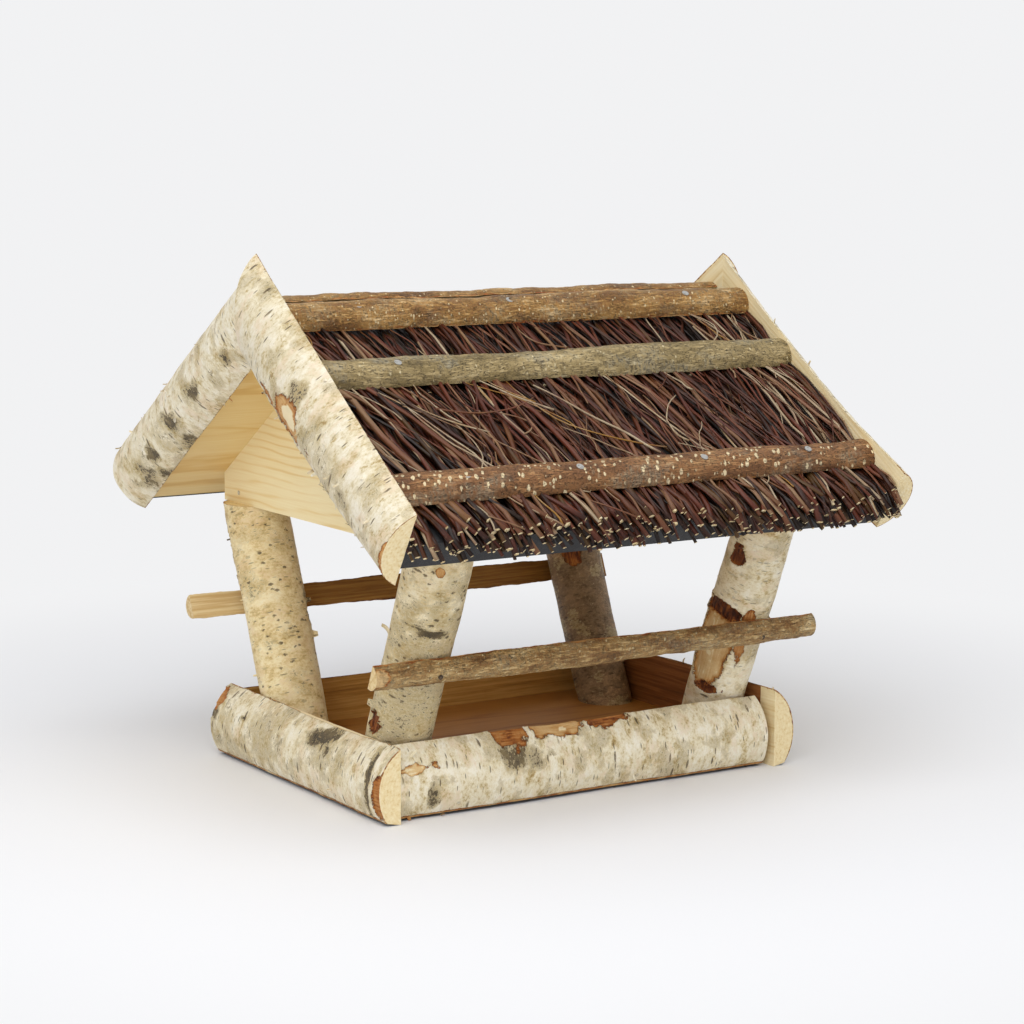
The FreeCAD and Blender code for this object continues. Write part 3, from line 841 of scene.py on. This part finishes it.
def post_place(side, face):
    """Where a post stands: its pith's line from below the floor board to above the roof."""
    node = "post_%s_%s" % (FACE_NAMES[face], SIDE_NAMES[side])
    lo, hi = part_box(node)
    radius = (hi.x - lo.x) / 2
    inner = hi.y if face == FRONT else lo.y
    foot_y = inner + face * radius / cos(LEAN)
    axis = Vector((0, face * sin(LEAN), cos(LEAN)))
    foot = Vector(((lo.x + hi.x) / 2, foot_y, lo.z))
    start = foot - axis * POST_FOOT * MM
    length = (hi.z - lo.z) / cos(LEAN) + POST_SPARE * MM
    return node, radius, lay(start, start + axis * length, Vector((0, -1, 0))), length


def posts():
    """Round birch posts, sawn to the floor and the roof and notched for the gable boards."""
    for side in (LEFT, RIGHT):
        for face in (FRONT, REAR):
            node, radius, place, length = post_place(side, face)
            log = Log(place, length, 2 * (radius - BARK_RELIEF), POST_BARKS[node], 1.4 * MM)
            log.saw(UP * FLOOR_TOP, -UP)
            log.saw(UP * APEX, slope_normal(face))
            notch(log, side)
            log.peelings(0.16 * length, 0.74 * length)
            log.piece(node, "log", BIRCH)


def notch(log, side):
    """Takes away the outer half of a post's top, where the gable board is let in."""
    top = log.bm.copy()
    log.saw(UP * GABLE_BOTTOM, UP)
    saw(top, UP * GABLE_BOTTOM, -UP)
    saw(top, ACROSS * side * GABLE_INNER, ACROSS * side)
    join(log.bm, top)


# Roof

# Width and drop at the eave, width at the ridge, run of the lower tip, sag in the middle
BARGE_SIZES = {
    (LEFT, FRONT): (58, 8.5, 69, 4.5, 1.5),
    (LEFT, REAR): (56, 6.5, 56, 0, 0),
    (RIGHT, FRONT): (52.4, 3.4, 52.4, 0, 7),
    (RIGHT, REAR): (52.4, 3.4, 52.4, 0, 0),
}
BARGE_RISE = 18 * MM
BARGE_SPARE = 40 * MM
BARGE_BARKS = {
    "barge_left_front": Bark(31, edge=0.4, tone=-0.24, curls=34, marks=(
        (153, 13, 19, 16, 1.2, 0.25, 0.20), (184, 19, 17, 7, 0.9, 0.3, 0.12),
        (152, 11, 12, 7.5, 0.4, 0.12, 1.0), (119, 13, 3.5, 2, 0.5, 0.5, -0.05),
        (152, -10, 9, 7, 0.4, 0.9, 0, 0.75), (92, 4, 30, 12, 0, 0.8, 0, 0.28),
        (64, 8, 12, 7, 0.2, 1.0, 0, 0.55), (1, 6, 4, 16, 0.6, 0.4, 0.20),
    )),
    "barge_left_rear": Bark(32, edge=0.4, tone=-0.15, curls=30, marks=(
        (211, -15, 6, 5, 0.5, 0.7, 0, 1.0), (153, -11, 9, 6, 0.5, 0.8, 0, 1.0),
        (108, -11, 8, 9, 0.5, 0.8, 0, 1.0), (105, -31, 9, 8, 0.5, 0.9, 0, 0.9),
        (64, -14, 8, 7, 0.5, 0.8, 0, 1.0), (54, -34, 7, 7, 0.5, 0.7, 0, 1.0),
        (36, -22, 12, 10, 0.5, 0.9, 0, 0.75), (92, -16, 24, 17, 0, 0.8, 0, 0.28),
        (38, -20, 26, 22, 0, 0.7, 0, 0.30),
    )),
    "barge_right_front": Bark(33, curls=12),
    "barge_right_rear": Bark(34, curls=12),
}


def barges():
    """Split logs up the gable ends, mitred at the ridge."""
    for (side, face), sizes in BARGE_SIZES.items():
        node = "barge_%s_%s" % (SIDE_NAMES[side], FACE_NAMES[face])
        width, drop, ridge_width, tip, dip = metres(*sizes)
        middle = width / 2 - drop
        along = (APEX - drop * cos(PITCH) - low(node).z) / sin(PITCH)
        length = along + BARGE_SPARE
        start = on_slope(face, along, middle, side * VERGE_X)
        end = on_slope(face, -BARGE_SPARE, middle, side * VERGE_X)
        log = Log(lay(start, end, ACROSS * side), length, width, BARGE_BARKS[node], 1.3 * MM,
                  rise=BARGE_RISE, bow=side * face * dip,
                  widening=1 + (ridge_width / width - 1) * length / along)
        if tip:
            lower = on_slope(face, along, -drop)
            upper = on_slope(face, along - tip, width - drop)
            log.saw(lower, (upper - lower).cross(ACROSS * face))
        log.saw(ORIGIN, -BACK * face)
        log.peelings(0.04 * along, 0.88 * along)
        log.piece(node, "log", BIRCH)


BATTEN_BARKS = {"ridge": RIDGE_BARK, "upper": UPPER_BARK, "lower": LOWER_BARK}
BATTEN_WIDTH = 28 * MM
BATTEN_RISE = 11 * MM


def battens():
    """Split sticks across the brushwood."""
    for face in (FRONT, REAR):
        for index, (level, material) in enumerate(BATTEN_BARKS.items()):
            node = "batten_%s_%s" % (FACE_NAMES[face], level)
            lo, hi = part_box(node)
            middle = (lo + hi) / 2
            # The box's middle lies on the line through the middle of the stick's section
            along = face * middle.y * cos(PITCH) - (middle.z - APEX) * sin(PITCH)
            start = on_slope(face, along, BATTEN_BOTTOM, lo.x)
            end = on_slope(face, along, BATTEN_BOTTOM, hi.x)
            bark = Bark(41 + index + 10 * (face == REAR), swell=1.6, lump=0.9, wrinkle=0.3, edge=0.7)
            log = Log(lay(start, end, slope_normal(face)), hi.x - lo.x, BATTEN_WIDTH, bark, 1.3 * MM,
                      rise=BATTEN_RISE)
            log.piece(node, "stick", (material, HAZEL_WOOD))


PERCH_WIDTH = 19 * MM
PERCH_RISE = 10 * MM
# The front perch is chipped at its left end, and the rear one has lost its bark there, which also keeps the
# left end of its flat face pale, outside its painted shade
PERCH_MARKS = {
    FRONT: (3, 3, 7, 9, 0.4, 0.35, 0.5),
    REAR: (0, 0, 56, 90, 0.4, 0.2, 1.0),
}


def perches():
    """Split hazel sticks nailed across the posts."""
    for face in (FRONT, REAR):
        node = "perch_" + FACE_NAMES[face]
        lo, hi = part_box(node)
        out = Vector((0, face * cos(LEAN), -sin(LEAN)))
        up = Vector((0, face * sin(LEAN), cos(LEAN)))
        inset = abs(up.y) * PERCH_WIDTH / 2
        y = hi.y - inset if face == FRONT else lo.y + inset
        z = hi.z - up.z * PERCH_WIDTH / 2
        bark = Bark(61 + face, lump=0.8, wrinkle=0.35, edge=0.8, marks=(PERCH_MARKS[face],))
        log = Log(lay(Vector((lo.x, y, z)), Vector((hi.x, y, z)), out), hi.x - lo.x, PERCH_WIDTH,
                  bark, 1.2 * MM, rise=PERCH_RISE)
        log.piece(node, "stick", (PERCH_BARK, HAZEL_WOOD if face == FRONT else SHADED_WOOD))


# Brushwood

TWIG_RINGS, TWIG_SIDES = 12, 5
BATTENS_AT = metres(4, 71, 190.5)
MAT_BOTTOM = FELT_TOP + 0.3 * MM
MAT_DEPTH = THATCH_TOP - MAT_BOTTOM
MAT_HALF = VERGE_X - 2 * MM

# Level in the mat, count, tint, thinnest and thickest radius and reach past the eave of each layer; the
# near-black tints of the two lowest layers are painted shade in the gaps between the twigs above
TWIG_LAYERS = (
    (0.12, 190, 0.02, 1.0, 2.0, 14),
    (0.38, 135, 0.12, 0.9, 2.1, 13),
    (0.45, 95, 0.16, 0.9, 2.0, -148),
    (0.66, 104, 0.35, 0.8, 2.4, 10),
    (0.94, 86, 0.44, 0.8, 2.3, 6),
)
# Layers above this level gather in bundles with dark gaps between, and those above the next one are
# on view: they have side shoots and some pale twigs
BASE_LEVEL = 0.3
TOP_LEVEL = 0.5

# Place, radius and reach past the eave of the thick butts and of the ends that hang below the felt
BUTTS = (
    (-150, 2.7, 5), (-139, 2.2, 4), (-93, 2.8, 4), (-61, 2.9, 3), (20, 2.4, 4), (-8, 0.9, 21),
    (129, 1.0, 20), (161, 0.9, 22), (-172, 1.5, 12),
)

# Sideways bow, radius, and start and end as x and along, then tint
LONG_BOWS = (
    (0, 0.9, -42, 107, -125, 112, 0.58),
    (5, 1.1, -34, 92, 30, 172, 0.88),
    (6, 0.8, -160, 88, -112, 178, 0.90),
    (-6, 0.8, -148, 100, -104, 178, 0.86),
    (7, 0.6, -118, 130, -122, 180, 0.90),
)
STRAY_COUNT = 54
STRAY_TINTS = (0.45, 0.55, 0.62, 0.74, 0.82, 0.90, 1.0)


def ripple(x, y, z):
    return noise.noise(Vector((x, y, z)))


def within_mat(x):
    return min(max(x, -MAT_HALF), MAT_HALF)


class Brush:
    """A slope's brushwood: many twigs in one mesh, each bent from the same plain tube."""

    def __init__(self, face, seed):
        self.face = face
        self.random = random.Random(seed)
        self.bm = bmesh.new()
        self.grain = self.bm.verts.layers.float_vector.new("grain")
        self.tint = self.bm.verts.layers.float.new("tint")
        self.tube = plain_tube("twig", TWIG_RINGS, TWIG_SIDES)

    def twig(self, path, thin, thick, tint, flat=1.0, fresh=True):
        """path(share) gives x, along and height on the slope; the twig thickens towards share 1."""
        first = len(self.bm.verts)
        first_face = len(self.bm.faces)
        self.bm.from_mesh(self.tube)
        self.bm.verts.ensure_lookup_table()
        self.bm.faces.ensure_lookup_table()
        for side_face in self.bm.faces[first_face:]:
            side_face.material_index = SAWN if fresh and is_end(side_face) else OUTSIDE
        spots = [Vector(path(ring / TWIG_RINGS)) for ring in range(TWIG_RINGS + 1)]
        roll = self.random.uniform(0, 7)
        shift = self.random.uniform(0, 400)
        for vert in self.bm.verts[first:]:
            ring = round(vert.co.x * TWIG_RINGS)
            before = spots[max(ring - 1, 0)]
            after = spots[min(ring + 1, TWIG_RINGS)]
            heading = (after - before).normalized()
            side = heading.cross(UP).normalized()
            top = side.cross(heading)
            angle = atan2(vert.co.y, vert.co.z) + roll
            share = ring / TWIG_RINGS
            radius = thin + (thick - thin) * share
            spot = spots[ring] + side * (radius * flat * cos(angle))
            spot += top * (radius / flat * sin(angle))
            vert.co = on_slope(self.face, spot.y, spot.z, spot.x)
            around = Vector((0, cos(angle), sin(angle))) * (radius / MM)
            vert[self.grain] = Vector((share * 200 + shift, 0, 0)) + around
            vert[self.tint] = tint


def slump(along):
    """0 under the battens and up to 1 halfway between them."""
    return min(min(abs(along - place) for place in BATTENS_AT) / (32 * MM), 1.0)


def droop(along):
    """How far twigs hang down once they are past the turned-down felt."""
    past = along - BOARD_SLOPE - 2.5 * MM
    return 0.4 * past if past > 0 else 0.0


def twig_path(rng, x, slant, top, end, height, puff):
    """A gently crooked way from near the ridge to the eave."""
    seed = rng.uniform(0, 500)
    crook = rng.uniform(2.5, 9.5) * MM

    def path(share):
        along = top + (end - top) * share
        place = x + slant * (along - 0.5 * BOARD_SLOPE)
        place += crook * ripple(share * 2.6, seed, 0)
        place += 0.55 * crook * ripple(share * 8.0, seed, 9)
        place = within_mat(place)
        ruffle = 1 + 1.3 * ripple(share * 4.0, seed, 4)
        end_lift = 5.0 * MM * max(0.0, place / MAT_HALF - 0.8) / 0.2
        return place, along, height + (puff * ruffle + end_lift) * slump(along) - droop(along)

    return path


def fork(brush, path, thin, tint):
    """A side shoot that leaves a twig and runs on beside it."""
    rng = brush.random
    leave = rng.uniform(0.15, 0.55)
    spread = rng.choice((-1, 1)) * rng.uniform(0.12, 0.42)
    run = rng.uniform(0.14, 0.40)

    def shoot(share):
        x, along, height = path(leave + run * share)
        x += spread * run * share * BOARD_SLOPE
        return within_mat(x), along, height + 0.8 * MM * share

    brush.twig(shoot, thin, thin * 0.5, tint, fresh=False)


def brushwood(face):
    """Layers of twigs from the ridge to past the eave, butts down, held under the battens."""
    brush = Brush(face, 71 + face)
    rng = brush.random
    spread = 2 * MAT_HALF + 40 * MM
    for level, count, shade, *sizes in TWIG_LAYERS:
        thinnest, thickest, reach = metres(*sizes)
        for index in range(count):
            x = -MAT_HALF - 10 * MM + spread * (index + rng.uniform(-0.6, 1.6)) / count
            if level > BASE_LEVEL:
                x += 7 * MM * ripple(x * 55, level * 5, face + 9)
            drift = ripple(x * 16, level * 9, face)
            slant = 0.17 + 0.32 * drift + rng.gauss(0, 0.18)
            from_ridge = reach < 0 or rng.random() < 0.76
            top = (rng.uniform(2, 16) if from_ridge else rng.uniform(30, 150)) * MM
            ragged = 5 * MM * ripple(x * 22, level * 3, face + 5)
            past = reach + 3 * MM * x / MAT_HALF + ragged + rng.gauss(0, 4) * MM
            end = BOARD_SLOPE + min(past, 19 * MM)
            thick = thinnest + (thickest - thinnest) * rng.random() ** 1.5
            if rng.random() < 0.05:
                thick = rng.uniform(2.0, 2.7) * MM
            height = MAT_BOTTOM + MAT_DEPTH * (level + rng.uniform(-0.1, 0.1))
            path = twig_path(rng, x, slant, top, end, height, rng.uniform(0, 3.2) * MM * level)
            tint = min(max(rng.gauss(shade, 0.19), 0), 0.72)
            if level > TOP_LEVEL and thick < 1.6 * MM and rng.random() < 0.13:
                tint = rng.uniform(0.74, 0.95)
            brush.twig(path, thick * rng.uniform(0.4, 0.75), thick, tint,
                       flat=rng.choice((1, 1, 1, 1.25, 1.5)), fresh=rng.random() < 0.8 or thick > 1.9 * MM)
            if level > TOP_LEVEL and rng.random() < 0.6:
                fork(brush, path, thick * 0.5, tint)
    for sizes in BUTTS:
        x, radius, past = metres(*sizes)
        path = twig_path(rng, x, 0.1, 120 * MM, BOARD_SLOPE + past, MAT_BOTTOM + 0.8 * MAT_DEPTH, 0)
        brush.twig(path, radius * 0.7, radius, rng.uniform(0.3, 0.5))
    strays(brush)
    finish_piece(brush.bm, "brushwood_" + FACE_NAMES[face], (TWIG_BARK, TWIG_CUT),
                 "thatch_" + FACE_NAMES[face])


def strays(brush):
    """Thin twigs that lie across the others, some of them in long bows."""
    rng = brush.random
    for _ in range(STRAY_COUNT):
        x = rng.uniform(-MAT_HALF, MAT_HALF)
        first = rng.uniform(8, 185) * MM
        length = rng.uniform(25, 85) * MM
        slant = rng.gauss(0.30, 0.42)
        curve = rng.gauss(0, 12) * MM
        radius = rng.uniform(0.45, 0.8) * MM
        tint = rng.choice(STRAY_TINTS)
        lay_across(brush, curve, radius, x, first, x + slant * length, first + length, tint)
    if brush.face == FRONT:
        for *sizes, tint in LONG_BOWS:
            lay_across(brush, *metres(*sizes), tint)


def lay_across(brush, curve, radius, start_x, start_along, end_x, end_along, tint):
    """A thin twig on top of the mat between two places given as x and along."""
    seed = brush.random.uniform(0, 500)
    end_x = within_mat(end_x)
    end_along = min(end_along, BOARD_SLOPE + 8 * MM)
    sag = 0.12 * abs(end_x - start_x)

    def path(share):
        x = start_x + (end_x - start_x) * share + curve * 4 * share * (1 - share)
        x += 2.5 * MM * ripple(share * 4, seed, 2)
        along = start_along + (end_along - start_along) * share + sag * 4 * share * (1 - share)
        height = THATCH_TOP - 0.3 * MM + 3.2 * MM * slump(along) - droop(along)
        return within_mat(x), along, height

    brush.twig(path, radius * 0.55, radius, tint, fresh=False)


# Carried-over boards, felt and nails

def dress(nodes, material):
    for name in nodes:
        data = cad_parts[name].data
        data.materials.clear()
        data.materials.append(material)


def boards_and_nails():
    # The floor board's darker pine is painted shade under the roof
    dress(["floor_board"], pine("floor_pine", (0, 0, 0), (0, 31, 22), "AC7A3C", "8E5B28", "663A12"))
    dress(["gable_board_left", "gable_board_right"],
          pine("gable_pine", (0, 0, pi / 2), (0, -260, 14), spread=0.8))
    for face, name in FACE_NAMES.items():
        roof_pine = pine("roof_pine_" + name, (face * PITCH, 0, 0), (0, 40, 12), "EBD39A", "DFBC78", "C29148")
        dress(["roof_board_" + name], roof_pine)
    dress(["roofing_felt"], felt_finish())
    dress(["batten_nails"], nail_finish("bright_steel", "B9B8B4", "77736C", 0.6))
    dress(["perch_nails"], nail_finish("dull_steel", "6A5A48", "40342A", 0.45))
    dress(["barge_nails", "rim_nails", "gable_nails"], nail_finish("pale_steel", "D8CFBA", "B9AC90", 0.5))
    dress(["roof_board_nails", "post_screws"], nail_finish("zinc_steel", "A8A8A2", "7C7A74", 0.6))


# Floor, backdrop, light and camera

FLOOR_HALF = 6
FLOOR_WHITE = (0.832, 0.838, 0.862, 1)
BACKDROP_WHITE = (0.885, 0.887, 0.897, 1)
# How far from the table the floor starts to turn into the backdrop, and where it has
BACKDROP_STARTS = (330, 850)
ROOM_LIGHT = 0.54
# Name, place, aim, size and power of each lamp
LAMPS = (
    ("overhead", (-0.50, -0.95, 1.90), (0, -0.05, 0.1), 2.2, 33),
    ("left_front", (-1.8, -1.2, 1.1), (0, 0, 0.2), 1.4, 10),
)


def add(name, data):
    thing = bpy.data.objects.new(name, data)
    bpy.context.scene.collection.objects.link(thing)
    return thing


def studio():
    """A white floor that runs into a pale backdrop, under a broad lamp and the light of a white room."""
    ground = bmesh.new()
    bmesh.ops.create_grid(ground, x_segments=1, y_segments=1, size=FLOOR_HALF)
    mesh = bpy.data.meshes.new("studio_floor")
    ground.to_mesh(mesh)
    ground.free()
    floor = add("studio_floor", mesh)
    f = Finish("studio_white")
    x, y, _ = f.parts(f.place())
    away = (x * x + y * y).power(0.5)
    cloth = f.make("BsdfPrincipled", None, {"Base Color": FLOOR_WHITE, "Roughness": 0.7})
    glow = f.make("Emission", None, {"Color": BACKDROP_WHITE, "Strength": 1.0})
    share = f.seen() * f.rise(away, *BACKDROP_STARTS)
    f.give("OutputMaterial", f.make("MixShader", None, {0: share, 1: cloth, 2: glow}))
    mesh.materials.append(f.owner)

    f = Finish("studio", "worlds")
    light = f.make("Background", None, {"Color": (1, 1, 1, 1), "Strength": ROOM_LIGHT})
    glow = f.make("Background", None, {"Color": BACKDROP_WHITE, "Strength": 1.0})
    f.give("OutputWorld", f.make("MixShader", None, {0: f.seen(), 1: light, 2: glow}))
    bpy.context.scene.world = f.owner
    for name, place, aim, size, power in LAMPS:
        data = bpy.data.lights.new(name, "AREA")
        data.shape = "SQUARE"
        data.size = size
        data.energy = power
        thing = add(name, data)
        thing.location = place
        thing.rotation_euler = (Vector(aim) - Vector(place)).to_track_quat("-Z", "Y").to_euler()


# The photograph's view, from a fit of the tray's and the roof's corners
CAMERA_PLACE = (-1.07087, -1.68396, 0.48034)
CAMERA_YAW, CAMERA_TILT, CAMERA_ROLL = 0.5704, -0.1449, 0.0052
FOCAL_PIXELS = 2695.2
FRAME_PIXELS = 1024


def camera():
    sine, cosine = sin(CAMERA_YAW), cos(CAMERA_YAW)
    flat = cos(CAMERA_TILT)
    ahead = Vector((sine * flat, cosine * flat, sin(CAMERA_TILT)))
    right = ahead.cross(UP).normalized()
    up = right.cross(ahead)
    across = right * cos(CAMERA_ROLL) + up * sin(CAMERA_ROLL)
    above = up * cos(CAMERA_ROLL) - right * sin(CAMERA_ROLL)
    data = bpy.data.cameras.new("camera")
    data.sensor_fit = "HORIZONTAL"
    data.sensor_width = 36
    data.lens = FOCAL_PIXELS / FRAME_PIXELS * data.sensor_width
    data.clip_start = 0.05
    thing = add("camera", data)
    turned = Matrix((across, above, -ahead)).transposed().to_4x4()
    turned.translation = CAMERA_PLACE
    thing.matrix_world = turned
    bpy.context.scene.camera = thing


rims()
posts()
barges()
battens()
perches()
brushwood(FRONT)
brushwood(REAR)
boards_and_nails()
studio()
camera()
bpy.context.scene.view_settings.view_transform = "Standard"
